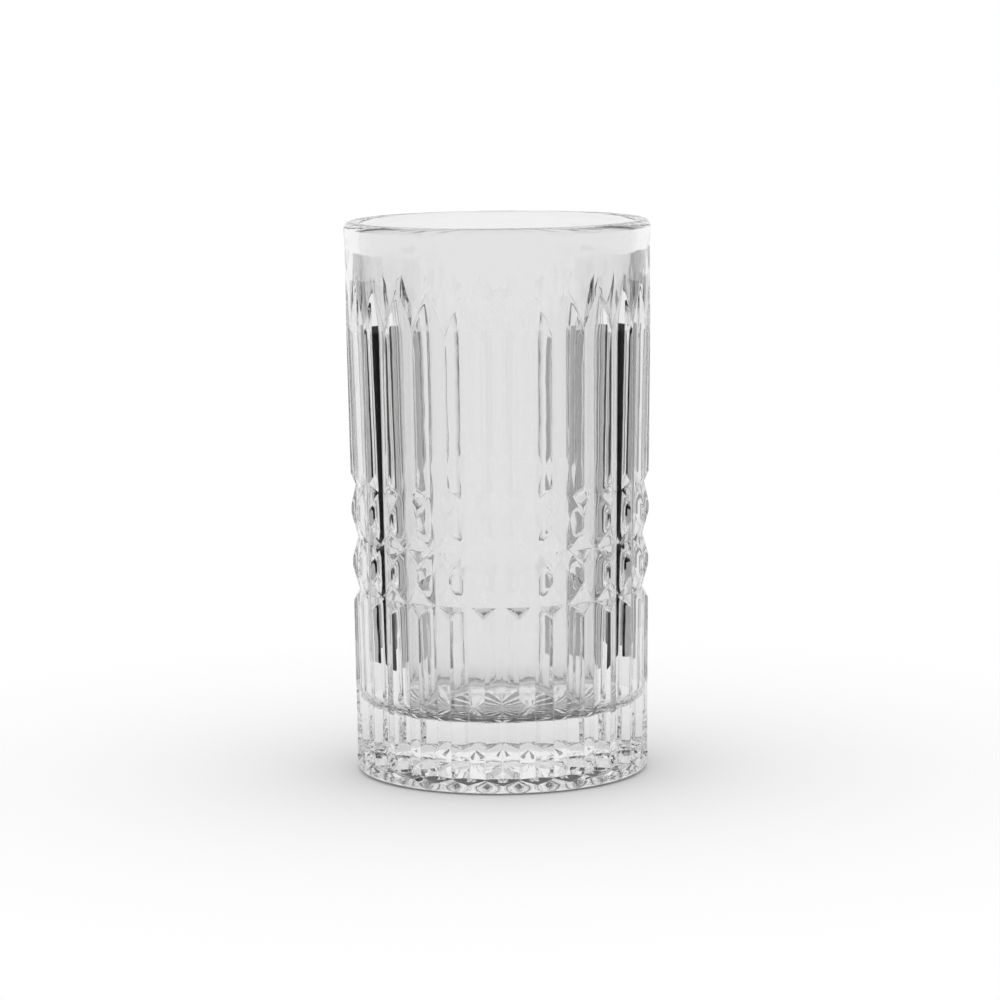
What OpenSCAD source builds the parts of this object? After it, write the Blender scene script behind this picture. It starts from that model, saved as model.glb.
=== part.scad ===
// Highball glass, pressed in one piece: a plain band under a rounded lip, V-cut flutes
// that end in pointed tips, two rows of pyramids, short V-cut columns, and a thick solid
// base with a star cut into its underside.
// Lengths are in millimetres. The origin is at the middle of the foot, with +Z up.

/* [Overall] */
// Height from the table to the top of the lip
glass_h = 145.4; // [120:0.1:170]
// Outer diameter of the plain band below the lip
band_d = 80; // [76:0.1:90]
// Number of flutes round the glass
flutes = 27; // [23:1:31]

/* [Lip] */
// Thickness of the rounded lip
lip_t = 3.9; // [3:0.1:4.6]
// How far the lip stands out past the band
lip_bead = 0.25; // [0.1:0.05:0.5]
// Height over which the lip flares out
lip_h = 8; // [5:0.5:12]

/* [Wall and floor] */
// Thickness of the glass at the foot of the inner wall, from the outside of the foot inwards
low_wall_t = 5.65; // [5:0.05:8]
// Height of the inner floor above the table
floor_z = 17.5; // [14:0.1:26]
// Radius of the inner corner between wall and floor
floor_r = 4.5; // [2:0.5:8]

/* [Flutes] */
// Height of the pointed tips above the table
tip_z = 129.5; // [115:0.1:132]
// Length over which a flute runs out into its tip
tip_len = 11; // [8:0.5:16]
// How far the ridges draw in from the tips down to the lowest ring groove
upper_draw = 0.65; // [0.2:0.05:1]
// Depth of a flute, from its ridges to its valley
flute_depth = 1.85; // [1.4:0.05:2.1]

/* [Pyramids] */
// Height of the lowest ring groove above the table
groove_low_z = 48.6; // [42:0.1:52]
// Height of one row of pyramids
pyramid_h = 13.95; // [10:0.05:15]
// How far the top ring groove is shallower than the lowest
groove_draw = 0.7; // [0.4:0.05:0.9]
// Height of the steep facet that ends the upper flutes
upper_facet_h = 3.4; // [2:0.1:5]
// Height of the steep facet that starts the lower columns
lower_facet_h = 3.3; // [2:0.1:5]

/* [Foot] */
// How far the outside of the foot lies in from the band
foot_inset = 1.35; // [0.5:0.05:2]
// Radius of the foot's rounded corner
foot_r = 2; // [1:0.1:3]
// Height at which the lower columns end
column_end_z = 2.4; // [2:0.1:6]
// Length over which a column's valley runs out
column_end_len = 1.6; // [1.2:0.1:4]
// How far the columns' ridges lie in from the outside of the foot
lower_draw = 0.15; // [0.1:0.05:0.4]

/* [Star] */
// Number of rays in the star under the base
star_rays = 27; // [16:1:32]
// Width of the flat ring round the star, on which the glass stands
ring_w = 3.05; // [2:0.05:8]
// Height of the star's ridges above the table in the middle
star_rise = 3.4; // [1:0.1:5]
// Height of the star's ridges above the table at the flat ring
star_edge_rise = 1; // [0.3:0.1:2]
// Depth of a ray where it is deepest, from ridge to valley
ray_depth = 1.8; // [1:0.1:3]
// Length over which a ray's outer end runs down to the flat ring
ray_end_len = 1.5; // [0.8:0.1:4]
// Diameter of the plain button in the middle of the star
button_d = 7; // [4:0.5:14]

/* [Hidden] */
$fn = 96;

// Every cut runs past the glass by this much
overrun = 2;
// Facets of the round between the inner wall and the floor
floor_steps = 8;
// How far an outline stands clear of the ridges that the flutes leave, so that they meet in an edge
edge_clear = 0.05;

band_r = band_d / 2;
foot_outer_r = band_r - foot_inset;
lip_r = lip_t / 2;
lip_outer_r = band_r + lip_bead;
lip_mid_r = lip_outer_r - lip_r;
lip_mid_z = glass_h - lip_r;
bore_top_r = lip_outer_r - lip_t;
bore_low_r = foot_outer_r - low_wall_t;
star_r = foot_outer_r - foot_r - ring_w;
ray_deep_r = star_r - ray_end_len;
button_r = button_d / 2;

// Ring grooves and the heights where the flutes change direction, from the lowest up
column_foot_z = column_end_z + column_end_len;
column_top_z = groove_low_z - lower_facet_h;
peak_low_z = groove_low_z + pyramid_h / 2;
groove_mid_z = groove_low_z + pyramid_h;
peak_top_z = groove_mid_z + pyramid_h / 2;
groove_top_z = groove_mid_z + pyramid_h;
flute_end_z = groove_top_z + upper_facet_h;
meet_z = tip_z - tip_len;

// Ridges, where two flutes meet, and how far in from them a valley lies as a share of their radius
half_pitch = 180 / flutes;
ridge_meet_r = band_r - edge_clear;
ridge_groove_r = ridge_meet_r - upper_draw;
ridge_foot_r = foot_outer_r - lower_draw;
ridge_middle_r = (foot_outer_r + ridge_groove_r) / 2;
valley_share = 1 - flute_depth / ridge_meet_r;

// Floors of the ring grooves
groove_low_r = ridge_groove_r * valley_share - edge_clear;
groove_mid_r = groove_low_r + groove_draw / 3;
groove_top_r = groove_low_r + groove_draw;

function mix(a, b, share) = a + (b - a) * share;
function between(z, low, high) = (z - low) / (high - low);

// Radius of the outline at height z on the upper part, just clear of the ridges
function clear_r(z) =
    edge_clear + mix(ridge_groove_r, ridge_meet_r, between(z, groove_low_z, meet_z));

// Radius of the outline at the top of the lower columns, just clear of their ridges
column_top_r = edge_clear
    + mix(ridge_foot_r, ridge_middle_r, between(column_top_z, column_foot_z, groove_low_z));

// Height of the star's ridges above the table at radius r
function dome_z(r) = mix(star_rise, star_edge_rise, r / star_r);

// A point of the round between the inner wall, at share 0, and the floor, at share 1
function floor_corner(share) =
    let (lean = atan2(bore_top_r - bore_low_r, lip_mid_z - floor_z))
    let (middle_r = bore_low_r - floor_r * (1 - sin(lean)) / cos(lean))
    let (turn = mix(-lean, -90, share))
        [middle_r + floor_r * cos(turn), floor_z + floor_r + floor_r * sin(turn)];

// A point on a ring of radius r at height z, step half pitches round from a valley
function at(r, step, half, z) = [r * sin(step * half), -r * cos(step * half), z];

// Half of the glass's section, before the flutes and the star are cut
module section() {
    polygon([
        [0, 0],
        [foot_outer_r - foot_r, 0],
        [foot_outer_r, foot_r],
        [foot_outer_r, column_foot_z],
        [column_top_r, column_top_z],
        [groove_low_r, groove_low_z],
        [clear_r(peak_low_z), peak_low_z],
        [groove_mid_r, groove_mid_z],
        [clear_r(peak_top_z), peak_top_z],
        [groove_top_r, groove_top_z],
        [clear_r(flute_end_z) + edge_clear, flute_end_z],
        [band_r, tip_z - tip_len / 2],
        [band_r, glass_h - lip_h],
        [lip_outer_r, lip_mid_z],
        [bore_top_r, lip_mid_z],
        for (i = [0:floor_steps])
            floor_corner(i / floor_steps),
        [0, floor_z],
    ]);
    translate([foot_outer_r - foot_r, foot_r])
        circle(foot_r);
    translate([lip_mid_r, lip_mid_z])
        circle(lip_r);
}

// A solid whose sides are pleated: each row is [radius of its ridges, height], from the lowest up
module pleats(rows) {
    count = 2 * flutes;
    points = [
        for (row = rows, i = [0:count - 1])
            at(row[0] * (i % 2 == 0 ? valley_share : 1), i, half_pitch, row[1])
    ];
    sides = [
        for (level = [0:len(rows) - 2], i = [0:count - 1])
            let (a = level * count + i, b = level * count + (i + 1) % count)
                [a, a + count, b + count, b]
    ];
    bottom = [for (i = [0:count - 1]) i];
    top = [for (i = [count - 1:-1:0]) (len(rows) - 1) * count + i];
    polyhedron(points, concat(sides, [bottom, top]));
}

// The flutes' valleys and ridges from the foot to the tips, where they run out of the glass
module flute_pleats() {
    tip_ridge_r = band_r / valley_share;
    foot_ridge_r = foot_outer_r / valley_share;
    foot_slope = (foot_ridge_r - ridge_foot_r) / column_end_len;
    tip_slope = (tip_ridge_r - ridge_meet_r) / tip_len;
    pleats([
        [ridge_foot_r + foot_slope * (column_foot_z + overrun), -overrun],
        [ridge_foot_r, column_foot_z],
        [ridge_middle_r, groove_low_z],
        [ridge_meet_r, meet_z],
        [ridge_meet_r + tip_slope * (glass_h + overrun - meet_z), glass_h + overrun],
    ]);
}

// The star under the base: pleats that deepen outwards and then run down to the flat ring
module star() {
    count = 2 * star_rays;
    half_ray = 180 / star_rays;
    deep_z = dome_z(ray_deep_r);
    points = concat(
        [[0, 0, star_rise], [0, 0, -overrun]],
        [for (i = [0:count - 1]) at(ray_deep_r, i, half_ray, deep_z + (i % 2) * ray_depth)],
        [for (i = [0:count - 1]) at(star_r, i, half_ray, star_edge_rise)],
        [for (i = [0:count - 1]) at(star_r, i, half_ray, -overrun)]
    );
    faces = [
        for (i = [0:count - 1])
            let (a = 2 + i, b = 2 + (i + 1) % count)
            let (edge_a = a + count, edge_b = b + count)
            let (low_a = edge_a + count, low_b = edge_b + count)
            let (out_a = i % 2 == 0 ? [[a, b, edge_a], [b, edge_b, edge_a]] : [])
            let (out_b = i % 2 == 1 ? [[a, b, edge_b], [a, edge_b, edge_a]] : [])
                each [[0, b, a], each out_a, each out_b, [edge_a, edge_b, low_b, low_a], [1, low_a, low_b]]
    ];
    polyhedron(points, faces);
    button_z = star_rise + ray_depth * button_r / ray_deep_r;
    translate([0, 0, -overrun])
        cylinder(h = overrun + button_z, r = button_r);
}

module tumbler() {
    color([0.86, 0.88, 0.88, 0.4])
        difference() {
            intersection() {
                rotate_extrude()
                    section();
                flute_pleats();
            }
            star();
        }
}

tumbler();
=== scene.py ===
from math import atan2, cos, degrees, pi, radians, sin

import bpy
import numpy as np
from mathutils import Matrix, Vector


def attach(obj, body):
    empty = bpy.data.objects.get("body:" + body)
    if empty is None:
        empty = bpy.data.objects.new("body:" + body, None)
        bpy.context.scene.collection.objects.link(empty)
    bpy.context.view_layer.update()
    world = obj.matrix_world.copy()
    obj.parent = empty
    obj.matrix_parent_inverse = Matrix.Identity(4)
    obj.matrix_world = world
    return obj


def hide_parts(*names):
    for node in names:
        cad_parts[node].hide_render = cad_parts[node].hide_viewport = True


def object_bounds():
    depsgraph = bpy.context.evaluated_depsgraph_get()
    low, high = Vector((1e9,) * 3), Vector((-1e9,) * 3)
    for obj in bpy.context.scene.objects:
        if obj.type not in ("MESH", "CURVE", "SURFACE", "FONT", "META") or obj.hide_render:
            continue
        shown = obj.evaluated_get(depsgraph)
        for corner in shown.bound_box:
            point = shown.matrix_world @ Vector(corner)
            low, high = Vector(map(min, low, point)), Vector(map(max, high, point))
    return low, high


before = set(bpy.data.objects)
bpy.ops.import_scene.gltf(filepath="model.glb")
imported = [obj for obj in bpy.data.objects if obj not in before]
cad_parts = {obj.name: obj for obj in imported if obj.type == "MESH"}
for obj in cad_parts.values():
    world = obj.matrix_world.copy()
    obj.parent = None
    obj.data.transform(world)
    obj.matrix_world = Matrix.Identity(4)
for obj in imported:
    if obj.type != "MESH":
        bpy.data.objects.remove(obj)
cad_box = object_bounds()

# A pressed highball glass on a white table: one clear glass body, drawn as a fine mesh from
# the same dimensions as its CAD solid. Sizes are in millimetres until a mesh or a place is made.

MM = 0.001

# Overall sizes, read from the frame
GLASS_H = cad_box[1].z / MM
LIP_OUTER_R = cad_box[1].x / MM
FLUTES = 27

# Lip and plain band
LIP_T = 3.9
LIP_BEAD = 0.25
LIP_H = 8
LIP_R = LIP_T / 2
LIP_MID_R = LIP_OUTER_R - LIP_R
LIP_MID_Z = GLASS_H - LIP_R
BAND_R = LIP_OUTER_R - LIP_BEAD

# Inner wall and floor
BORE_LOW_R = 33
FLOOR_Z = 17.5
FLOOR_R = 4.5

# Flutes
TIP_Z = 129.5
TIP_LEN = 11
MEET_Z = TIP_Z - TIP_LEN
ARCH_Z = MEET_Z - 3
UPPER_DRAW = 0.65
FLUTE_DEPTH = 1.85

# Pyramids, between ring grooves
GROOVE_LOW_Z = 48.6
PYRAMID_H = 13.95
GROOVE_DRAW = 0.7
UPPER_FACET_H = 3.4
LOWER_FACET_H = 3.3

# Foot and lower columns
FOOT_OUTER_R = 38.65
FOOT_R = 2
COLUMN_END_Z = 2.4
COLUMN_END_LEN = 1.6
LOWER_DRAW = 0.15

# Star under the base
STAR_R = 33.6
STAR_RISE = 3.4
STAR_EDGE_RISE = 1
RAY_END_LEN = 1.5
RAY_DEPTH = 1.8
RAY_END_SOFT = 0.05
BUTTON_R = 3.5
STAR_WALL_ROUND = 0.3

# How softly two facets meet: the most that their edge is rounded off, and the half width of the round
EDGE_CLEAR = 0.05
SOFT = 0.12
EDGE_W = 0.16
TIP_SOFT = 0.4
# How far from a corner of the outline its round can reach, how near two points are joined, and the
# step over which a slope is measured
CORNER_REACH = 1
WELD = 0.002
SLOPE_STEP = 0.005

HALF_PITCH = pi / FLUTES
COLUMN_FOOT_Z = COLUMN_END_Z + COLUMN_END_LEN
COLUMN_TOP_Z = GROOVE_LOW_Z - LOWER_FACET_H
PEAK_LOW_Z = GROOVE_LOW_Z + PYRAMID_H / 2
GROOVE_MID_Z = GROOVE_LOW_Z + PYRAMID_H
PEAK_TOP_Z = GROOVE_MID_Z + PYRAMID_H / 2
GROOVE_TOP_Z = GROOVE_MID_Z + PYRAMID_H
FLUTE_END_Z = GROOVE_TOP_Z + UPPER_FACET_H
RIDGE_MEET_R = BAND_R - EDGE_CLEAR
RIDGE_GROOVE_R = RIDGE_MEET_R - UPPER_DRAW
RIDGE_FOOT_R = FOOT_OUTER_R - LOWER_DRAW
VALLEY_SHARE = 1 - FLUTE_DEPTH / RIDGE_MEET_R
RIDGE_MIDDLE_R = (FOOT_OUTER_R + RIDGE_GROOVE_R) / 2
COLUMN_TOP_R = EDGE_CLEAR + RIDGE_FOOT_R + (RIDGE_MIDDLE_R - RIDGE_FOOT_R) * (
    (COLUMN_TOP_Z - COLUMN_FOOT_Z) / (GROOVE_LOW_Z - COLUMN_FOOT_Z)
)
RAY_DEEP_R = STAR_R - RAY_END_LEN
GROOVE_LOW_R = RIDGE_GROOVE_R * VALLEY_SHARE - EDGE_CLEAR
GROOVE_MID_R = GROOVE_LOW_R + GROOVE_DRAW / 3
GROOVE_TOP_R = GROOVE_LOW_R + GROOVE_DRAW

# Camera, fitted to the photograph
CAMERA_BACK = 1006.4
CAMERA_UP = 207.0
CAMERA_TILT = 7.68
CAMERA_ROLL = 0.6
LENS_MM = 138.4
SENSOR_MM = 36


def mix(a, b, share):
    return a + (b - a) * share


def soft_min(a, b, soft=SOFT):
    """The lesser of a and b, rounded off where they meet."""
    share = np.clip(0.5 + 0.5 * (b - a) / soft, 0, 1)
    return mix(b, a, share) - soft * share * (1 - share)


def soft_max(a, b, soft=SOFT):
    return -soft_min(-a, -b, soft)


def ridge_radius(z):
    """Radius of the ridges between the flutes, which runs out past the glass at the tips and the foot."""
    tip_slope = (BAND_R / VALLEY_SHARE - RIDGE_MEET_R) / TIP_LEN
    foot_slope = (FOOT_OUTER_R / VALLEY_SHARE - RIDGE_FOOT_R) / COLUMN_END_LEN
    inner = np.interp(
        z,
        [COLUMN_FOOT_Z, GROOVE_LOW_Z, MEET_Z],
        [RIDGE_FOOT_R, RIDGE_MIDDLE_R, RIDGE_MEET_R],
    )
    past_tip = soft_max((z - MEET_Z) * tip_slope, 0 * z, TIP_SOFT)
    past_foot = np.maximum(COLUMN_FOOT_Z - z, 0) * foot_slope
    return inner + past_tip + past_foot


def pleat_share(turn):
    """Radius of the pleats as a share of the ridges', at an angle from a valley."""
    turn = np.abs((turn + HALF_PITCH) % (2 * HALF_PITCH) - HALF_PITCH)

    def side(angle):
        return VALLEY_SHARE * sin(HALF_PITCH) / (
            np.cos(angle) * sin(HALF_PITCH) - np.sin(angle) * (cos(HALF_PITCH) - VALLEY_SHARE)
        )

    r = RIDGE_MEET_R
    valley = soft_max(side(turn) * r, side(-turn) * r)
    ridge = soft_min(side(turn) * r, side(2 * HALF_PITCH - turn) * r)
    return (valley + ridge - side(turn) * r) / r


def clear_r(z):
    """Radius of the outline where it stands just clear of the ridges."""
    share = (z - GROOVE_LOW_Z) / (MEET_Z - GROOVE_LOW_Z)
    return EDGE_CLEAR + mix(RIDGE_GROOVE_R, RIDGE_MEET_R, share)


OUTLINE = [
    (0, FOOT_OUTER_R),
    (COLUMN_FOOT_Z, FOOT_OUTER_R),
    (COLUMN_TOP_Z, COLUMN_TOP_R),
    (GROOVE_LOW_Z, GROOVE_LOW_R),
    (PEAK_LOW_Z, clear_r(PEAK_LOW_Z)),
    (GROOVE_MID_Z, GROOVE_MID_R),
    (PEAK_TOP_Z, clear_r(PEAK_TOP_Z)),
    (GROOVE_TOP_Z, GROOVE_TOP_R),
    (FLUTE_END_Z, clear_r(FLUTE_END_Z) + EDGE_CLEAR),
    (TIP_Z - TIP_LEN / 2, BAND_R),
    (GLASS_H, BAND_R),
]


def outline_line(index, z):
    """The outline's straight stretch of that index, carried on past its ends."""
    (z0, r0), (z1, r1) = OUTLINE[index], OUTLINE[index + 1]
    return mix(r0, r1, (z - z0) / (z1 - z0))


def outline_radius(z):
    """Radius of the ringed outline, with its grooves and peaks rounded off."""
    lines = [outline_line(i, z) for i in range(len(OUTLINE) - 1)]
    radius = lines[0]
    for i in range(1, len(lines)):
        z0 = OUTLINE[i][0]
        concave = OUTLINE[i - 1][1] >= OUTLINE[i][1] and OUTLINE[i + 1][1] > OUTLINE[i][1]
        meet = soft_max if concave else soft_min
        near = np.abs(z - z0) < CORNER_REACH
        radius = np.where(z > z0, lines[i], radius)
        radius = np.where(near, meet(lines[i - 1], lines[i]), radius)
    return radius


def outer_radius(turn, z):
    """Radius of the outside of the glass between its foot and its lip."""
    radius = soft_min(ridge_radius(z) * pleat_share(turn), outline_radius(z))
    flare = np.clip((z - (GLASS_H - LIP_H)) / (LIP_MID_Z - (GLASS_H - LIP_H)), 0, 1)
    return radius + LIP_BEAD * flare * flare * (3 - 2 * flare)


def crease_z(turn, low, high, outline_index):
    """Height between low and high at which the pleats cross a straight stretch of the outline."""
    share = pleat_share(turn)

    def gap(z):
        return ridge_radius(z) * share - outline_line(outline_index, z)

    low, high = low + 0 * turn, high + 0 * turn
    rises = gap(high) > gap(low)
    for _ in range(30):
        middle = (low + high) / 2
        above = (gap(middle) > 0) == rises
        low, high = np.where(above, low, middle), np.where(above, middle, high)
    return (low + high) / 2


def spread(low, high, middles):
    """Rows from low to high, close together at both ends, where edges are rounded."""
    near = np.minimum(EDGE_W, 0.3 * (high - low))
    inner = [mix(low + near, high - near, (i + 1) / (middles + 1)) for i in range(middles)]
    return [low, low + near / 2, low + near, *inner, high - near, high - near / 2]


def column_turns():
    """Angles of the mesh's columns, close together at the valleys and the ridges."""
    edge = EDGE_W / RIDGE_MEET_R
    half = [0, edge / 2, edge, HALF_PITCH / 3, HALF_PITCH * 2 / 3, HALF_PITCH - edge, HALF_PITCH - edge / 2]
    flute = half + [2 * HALF_PITCH - a for a in ([HALF_PITCH] + half[:0:-1])]
    return np.array([i * 2 * HALF_PITCH + a for i in range(FLUTES) for a in flute])


TURNS = column_turns()


def zone(low, high, outline_index, middles):
    """Rows of a stretch where the pleats and the outline cross along a slanting crease."""
    crease = crease_z(TURNS, low, high, outline_index)
    return spread(low + 0 * crease, crease, middles) + spread(crease, high + 0 * crease, middles)


def outside_rows():
    """Heights of the mesh's rows on the outside, from the foot's corner up to the lip."""
    plain = np.zeros(len(TURNS))
    rows = spread(FOOT_R + plain, COLUMN_END_Z + plain, 0)
    rows += zone(COLUMN_END_Z, COLUMN_FOOT_Z, 0, 1)
    rows += spread(COLUMN_FOOT_Z + plain, COLUMN_TOP_Z + plain, 5)
    rows += zone(COLUMN_TOP_Z, GROOVE_LOW_Z, 2, 1)
    rows += zone(GROOVE_LOW_Z, PEAK_LOW_Z, 3, 1)
    rows += zone(PEAK_LOW_Z, GROOVE_MID_Z, 4, 1)
    rows += zone(GROOVE_MID_Z, PEAK_TOP_Z, 5, 1)
    rows += zone(PEAK_TOP_Z, GROOVE_TOP_Z, 6, 1)
    rows += zone(GROOVE_TOP_Z, FLUTE_END_Z, 7, 1)
    rows += spread(FLUTE_END_Z + plain, ARCH_Z + plain, 6)
    rows += zone(ARCH_Z, TIP_Z, 9, 7)
    rows += [TIP_Z + plain, mix(TIP_Z, GLASS_H - LIP_H, 0.5) + plain]
    flare_rows = 6
    rows += [mix(GLASS_H - LIP_H, LIP_MID_Z, i / flare_rows) + plain for i in range(flare_rows)]
    return rows


def outside():
    """Points and normals of the outside, row by row."""
    step = SLOPE_STEP
    made = []
    for z in outside_rows():
        r = outer_radius(TURNS, z)
        along = (outer_radius(TURNS + step / r, z) - outer_radius(TURNS - step / r, z)) / (2 * step)
        up = (outer_radius(TURNS, z + step) - outer_radius(TURNS, z - step)) / (2 * step)
        made.append((r, z, np.ones(len(TURNS)), -along, -up))
    return made


def ring(r, z, out, up):
    """One row of a round surface: its radius and height, and its normal outwards and upwards."""
    whole = np.ones(len(TURNS))
    return (r * whole, z * whole, out * whole, 0 * whole, up * whole)


def arc(middle_r, middle_z, radius, start, end, steps, facing=1):
    """Rows of a round, from the angle start to the angle end, in degrees above the outward direction.

    Its normals point away from the round's middle, or towards it where facing is -1.
    """
    rows = []
    for i in range(steps + 1):
        a = radians(mix(start, end, i / steps))
        place = (middle_r + radius * cos(a), middle_z + radius * sin(a))
        rows.append(ring(*place, facing * cos(a), facing * sin(a)))
    return rows


def star_height(r, turn):
    """Height of the star's surface above the table, which is deepest at the outer ends of its rays."""
    share = np.abs((turn + HALF_PITCH) % (2 * HALF_PITCH) - HALF_PITCH) / HALF_PITCH
    rise = share * RAY_DEPTH
    tent = soft_max(rise, -rise) + soft_min(rise, 2 * RAY_DEPTH - rise) - rise
    dome = mix(STAR_RISE, STAR_EDGE_RISE, r / STAR_R)
    return dome + soft_min(r / RAY_DEEP_R, (STAR_R - r) / RAY_END_LEN, RAY_END_SOFT) * tent


def star():
    """Points and normals of the star under the base, from the middle out to the ring that it stands on."""
    whole = np.ones(len(TURNS))
    button_z = STAR_RISE + RAY_DEPTH * BUTTON_R / RAY_DEEP_R
    made = [ring(BUTTON_R * share, button_z, 0, -1) for share in (0, 1)]
    step = SLOPE_STEP
    deep = (RAY_DEEP_R - BUTTON_R) / (STAR_R - BUTTON_R)
    for share in (0, 0.01, 0.2, 0.4, 0.6, deep - 0.03, deep, deep + 0.03, 0.99, 1):
        r = mix(BUTTON_R, STAR_R, share)
        z = star_height(r, TURNS)
        along = (star_height(r, TURNS + step / r) - star_height(r, TURNS - step / r)) / (2 * step)
        out = (star_height(r + step, TURNS) - star_height(r - step, TURNS)) / (2 * step)
        made.append((r * whole, z, out, along, -whole))
    made += arc(STAR_R + STAR_WALL_ROUND, STAR_WALL_ROUND, STAR_WALL_ROUND, 180, 270, 4)
    return made


def inside_wall():
    """Points and normals of the lip, the inner wall and the floor."""
    slope = atan2(LIP_OUTER_R - LIP_T - BORE_LOW_R, LIP_MID_Z - FLOOR_Z)
    lean = degrees(slope)
    corner_r = BORE_LOW_R - FLOOR_R * (1 - sin(slope)) / cos(slope)
    corner_z = FLOOR_Z + FLOOR_R
    lip = arc(LIP_MID_R, LIP_MID_Z, LIP_R, 0, 180 - lean, 14)
    corner = arc(corner_r, corner_z, FLOOR_R, -lean, -90, 10, -1)
    (top_r, top_z), (low_r, low_z) = [(rows[0][0], rows[1][0]) for rows in (lip[-1], corner[0])]
    wall_steps = 12
    wall = []
    for i in range(1, wall_steps):
        down = i / wall_steps
        wall.append(ring(mix(top_r, low_r, down), mix(top_z, low_z, down), -cos(slope), sin(slope)))
    floor = [ring(corner_r * share, FLOOR_Z, 0, 1) for share in (0.85, 0.6, 0.3, 0)]
    return lip + wall + corner + floor


def weld(points, normals, quads):
    """Joins points that lie together, and drops the faces and corners that vanish."""
    keys = np.round(points / (WELD * MM)).astype(np.int64)
    _, first, same = np.unique(keys, axis=0, return_index=True, return_inverse=True)
    same = same.reshape(-1)
    faces = []
    for quad in same[quads]:
        face = [v for i, v in enumerate(quad) if v != quad[i - 1]]
        if len(set(face)) >= 3 and len(set(face)) == len(face):
            faces.append(face)
    return points[first], normals[first], faces


def glass_mesh():
    """The whole glass as one closed mesh: rows of points from under the base, out, up, in and down again."""
    rows = star()
    rows += arc(FOOT_OUTER_R - FOOT_R, FOOT_R, FOOT_R, -90, 0, 8)
    rows += outside()[1:]
    rows += inside_wall()
    points, normals = [], []
    for r, z, out, along, up in rows:
        # Turn 0 is a valley that faces the camera, towards -Y
        away = np.stack([np.sin(TURNS), -np.cos(TURNS), 0 * TURNS], 1)
        round_way = np.stack([np.cos(TURNS), np.sin(TURNS), 0 * TURNS], 1)
        upwards = np.array([[0, 0, 1.0]])
        points.append(away * r[:, None] + upwards * z[:, None])
        normals.append(away * out[:, None] + round_way * along[:, None] + upwards * up[:, None])
    points = np.concatenate(points) * MM
    normals = np.concatenate(normals)
    normals /= np.linalg.norm(normals, axis=1)[:, None]
    count = len(TURNS)
    a = (np.arange(len(rows) - 1)[:, None] * count + np.arange(count)[None, :]).reshape(-1)
    b = (np.arange(len(rows) - 1)[:, None] * count + (np.arange(count)[None, :] + 1) % count).reshape(-1)
    quads = np.stack([a, b, b + count, a + count], 1)
    points, normals, faces = weld(points, normals, quads)
    mesh = bpy.data.meshes.new("tumbler_glass")
    mesh.from_pydata(points.tolist(), [], faces)
    mesh.update()
    mesh.shade_smooth()
    mesh.normals_split_custom_set_from_vertices(normals.tolist())
    return mesh


# Waves that the mould and the flame leave in the surface: their count to a metre, and their height
WAVES_PER_M = 110
WAVE_MM = 0.08
# The glass's faint grey tint
TINT = (0.86, 0.86, 0.86, 1)
GLASS_IOR = 1.52
# What each surface of the glass lets through to the table, which sets how strong its shadow is
SHADOW_CLEAR = (0.3, 0.3, 0.3, 1)


def glass_material():
    """Clear soda-lime glass, with the faint waves of a fire-polished surface.

    Shadow and diffuse rays pass straight through it, dimmed, because caustics are off.
    """
    material = bpy.data.materials.new("glass")
    material.use_nodes = True
    nodes, links = material.node_tree.nodes, material.node_tree.links
    nodes.clear()
    output = nodes.new("ShaderNodeOutputMaterial")
    glass = nodes.new("ShaderNodeBsdfPrincipled")
    glass.inputs["Base Color"].default_value = TINT
    glass.inputs["Roughness"].default_value = 0
    glass.inputs["IOR"].default_value = GLASS_IOR
    glass.inputs["Transmission Weight"].default_value = 1
    waves = nodes.new("ShaderNodeTexNoise")
    waves.inputs["Scale"].default_value = WAVES_PER_M
    waves.inputs["Detail"].default_value = 1
    links.new(nodes.new("ShaderNodeTexCoord").outputs["Object"], waves.inputs["Vector"])
    bump = nodes.new("ShaderNodeBump")
    bump.inputs["Strength"].default_value = 1
    bump.inputs["Distance"].default_value = WAVE_MM * MM
    links.new(waves.outputs["Fac"], bump.inputs["Height"])
    links.new(bump.outputs["Normal"], glass.inputs["Normal"])
    clear = nodes.new("ShaderNodeBsdfTransparent")
    clear.inputs["Color"].default_value = SHADOW_CLEAR
    rays = nodes.new("ShaderNodeLightPath")
    unseen = nodes.new("ShaderNodeMath")
    unseen.operation = "MAXIMUM"
    links.new(rays.outputs["Is Shadow Ray"], unseen.inputs[0])
    links.new(rays.outputs["Is Diffuse Ray"], unseen.inputs[1])
    pick = nodes.new("ShaderNodeMixShader")
    links.new(unseen.outputs[0], pick.inputs["Fac"])
    links.new(glass.outputs[0], pick.inputs[1])
    links.new(clear.outputs[0], pick.inputs[2])
    links.new(pick.outputs[0], output.inputs["Surface"])
    return material


def make_glass():
    piece = bpy.data.objects.new("tumbler_glass", glass_mesh())
    bpy.context.scene.collection.objects.link(piece)
    piece.data.materials.append(glass_material())
    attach(piece, "root")
    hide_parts("tumbler")


# Upright studio cards beside the glass. Each has its azimuths in degrees, from straight behind the glass
# to its right, and its grey.
CARDS = {
    "card_left": (-88, -57, 0.01),
    "card_left_edge": (-57, -44, 0.6),
    "card_right_edge": (34, 57, 0.5),
    "card_right": (57, 88, 0.01),
    "card_side_left": (-106, -88, 0.55),
    "card_side_right": (88, 106, 0.55),
    "card_front_left": (-123, -106, 0.01),
    "card_front_right": (106, 123, 0.01),
}
# How far the cards stand from the glass's axis, how tall they are, and how many facets each has
CARD_REACH = 160
CARD_H = 120
CARD_STEPS = 16

# The table's side in metres, how far it lies below the foot so that the two don't flicker, and its white
TABLE_SIDE_M = 12
TABLE_DROP = 0.2
TABLE_WHITE = (0.98, 0.98, 0.98, 1)
TABLE_GLOW = 0.04


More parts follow.
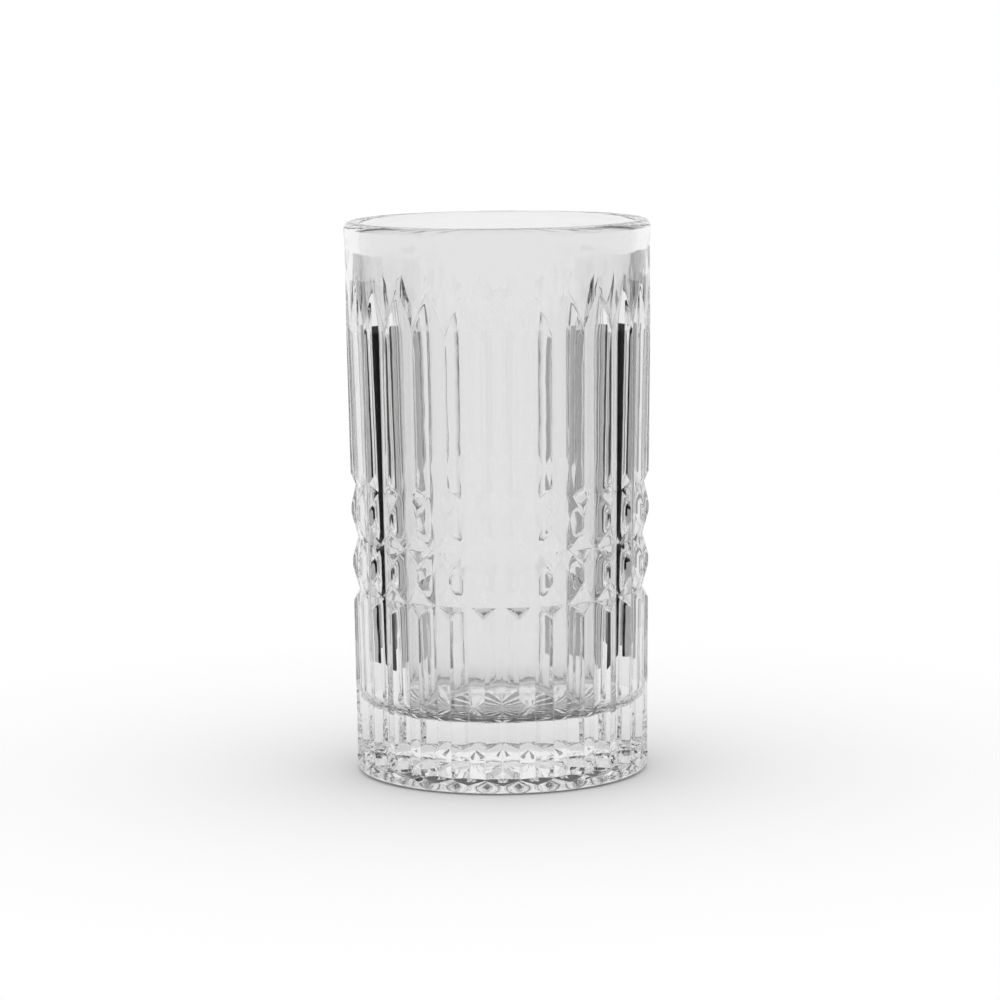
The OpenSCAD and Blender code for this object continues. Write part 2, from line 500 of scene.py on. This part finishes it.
def make_world():
    """A white studio all round, the same for the camera, the glass and the table."""
    world = bpy.data.worlds.new("studio")
    bpy.context.scene.world = world
    world.use_nodes = True
    white = world.node_tree.nodes["Background"]
    white.inputs["Color"].default_value = (1, 1, 1, 1)
    white.inputs["Strength"].default_value = 1


def make_card(name, start, end, grey):
    """A curved upright card, which the glass shows and the camera does not."""
    points = []
    for i in range(CARD_STEPS + 1):
        a = radians(mix(start, end, i / CARD_STEPS))
        points += [(CARD_REACH * MM * sin(a), CARD_REACH * MM * cos(a), z * MM) for z in (0, CARD_H)]
    faces = [(2 * i, 2 * i + 2, 2 * i + 3, 2 * i + 1) for i in range(CARD_STEPS)]
    mesh = bpy.data.meshes.new(name)
    mesh.from_pydata(points, [], faces)
    card = bpy.data.objects.new(name, mesh)
    bpy.context.scene.collection.objects.link(card)
    material = bpy.data.materials.new(name)
    material.use_nodes = True
    shader = material.node_tree.nodes["Principled BSDF"]
    shader.inputs["Base Color"].default_value = (grey, grey, grey, 1)
    shader.inputs["Roughness"].default_value = 1
    shader.inputs["Specular IOR Level"].default_value = 0
    mesh.materials.append(material)
    card.visible_camera = card.visible_diffuse = card.visible_shadow = False


def make_floor():
    """A matt white table, the same for every ray, that keeps the glass's shadow."""
    bpy.ops.mesh.primitive_plane_add(size=TABLE_SIDE_M, location=(0, 0, -TABLE_DROP * MM))
    floor = bpy.context.object
    floor.name = "floor"
    material = bpy.data.materials.new("white_table")
    material.use_nodes = True
    shader = material.node_tree.nodes["Principled BSDF"]
    shader.inputs["Base Color"].default_value = TABLE_WHITE
    shader.inputs["Roughness"].default_value = 1
    shader.inputs["Specular IOR Level"].default_value = 0
    shader.inputs["Emission Color"].default_value = (1, 1, 1, 1)
    shader.inputs["Emission Strength"].default_value = TABLE_GLOW
    floor.data.materials.append(material)


def make_camera():
    data = bpy.data.cameras.new("camera")
    data.type = "PERSP"
    data.lens = LENS_MM
    data.sensor_width = SENSOR_MM
    data.clip_start, data.clip_end = 0.05, 50
    camera = bpy.data.objects.new("camera", data)
    bpy.context.scene.collection.objects.link(camera)
    camera.location = (0, -CAMERA_BACK * MM, CAMERA_UP * MM)
    camera.rotation_mode = "XYZ"
    camera.rotation_euler = (radians(90 - CAMERA_TILT), 0, 0)
    camera.rotation_euler.rotate_axis("Z", -radians(CAMERA_ROLL))
    bpy.context.scene.camera = camera


make_camera()
make_world()
make_floor()
for card_name, card_edges in CARDS.items():
    make_card(card_name, *card_edges)
make_glass()

scene = bpy.context.scene
scene.view_settings.view_transform = "Standard"
scene.cycles.max_bounces = 24
scene.cycles.transmission_bounces = 24
scene.cycles.glossy_bounces = 12
scene.cycles.transparent_max_bounces = 24
scene.cycles.caustics_refractive = False
scene.cycles.caustics_reflective = False

bpy.context.view_layer.update()
